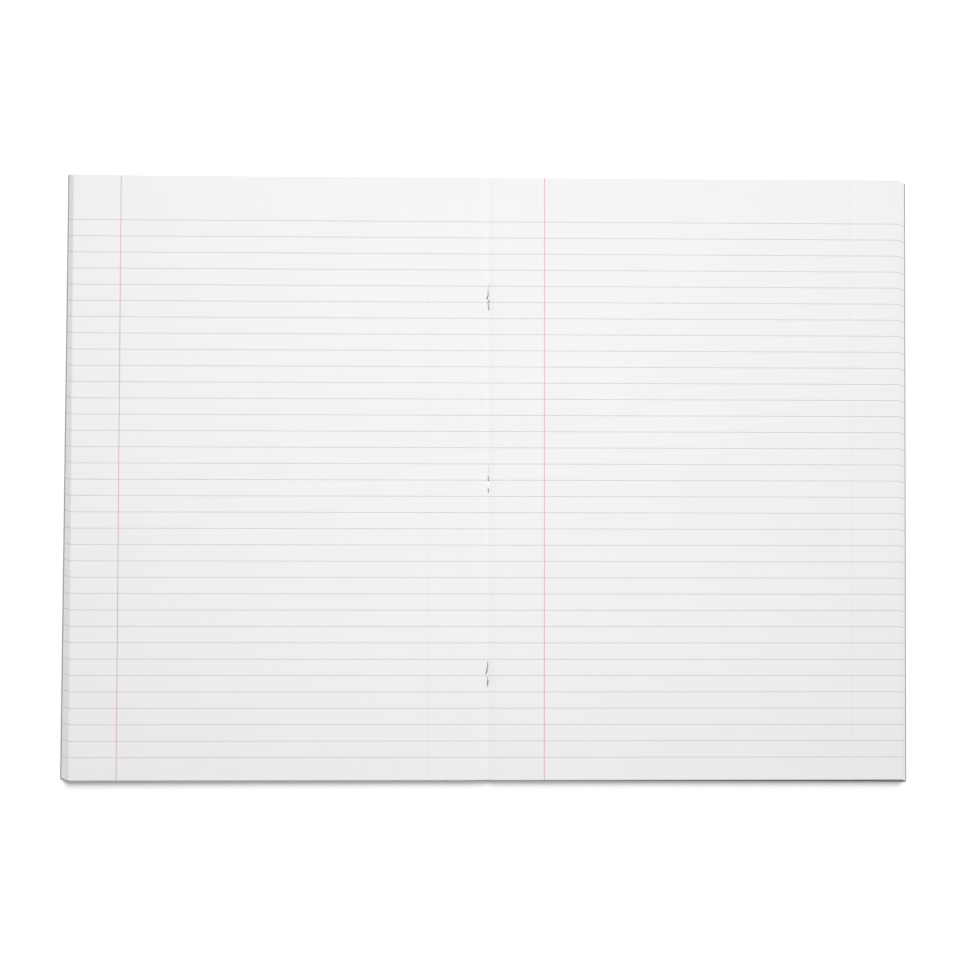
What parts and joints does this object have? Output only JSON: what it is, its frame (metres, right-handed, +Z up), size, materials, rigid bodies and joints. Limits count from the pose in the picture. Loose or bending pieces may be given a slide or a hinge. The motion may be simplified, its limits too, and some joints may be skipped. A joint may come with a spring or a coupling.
{
  "type": "open stapled exercise notebook",
  "caption": "Large ruled exercise notebook lying open flat at its centre spread, with a thin card cover, red margin lines and wire staples in the fold.",
  "frame": {"origin": "on the surface the notebook lies on, under the middle of the open spread", "axes": "+X to the right across the spread, +Y towards the head of the pages, +Z up out of the pages"},
  "size_m": [0.416, 0.2988, 0.0039],
  "materials": {
    "cover_card": "matt olive-grey card",
    "paper": "smooth uncoated white writing paper",
    "staple_wire": "bright drawn wire"
  },
  "bodies": {
    "right_half": {"back_cover": "cover_card", "right_pages": "paper"},
    "left_half": {"front_cover": "cover_card", "left_pages": "paper"},
    "staples": {"staple_top": "staple_wire", "staple_middle": "staple_wire", "staple_bottom": "staple_wire"}
  },
  "joints": [
    {"name": "left_half_hinge", "type": "hinge", "parent": "right_half", "child": "left_half", "pos_m": [0, 0, 0.004], "axis": [0, 1, 0], "range_deg": [0, 180]},
    {"name": "staple_turn", "type": "hinge", "parent": "right_half", "child": "staples", "pos_m": [0, 0, 0.004], "axis": [0, 1, 0], "range_deg": [0, 90]}
  ],
  "couplings": [
    {"joint": "staple_turn", "follows": "left_half_hinge", "ratio": 0.5}
  ]
}
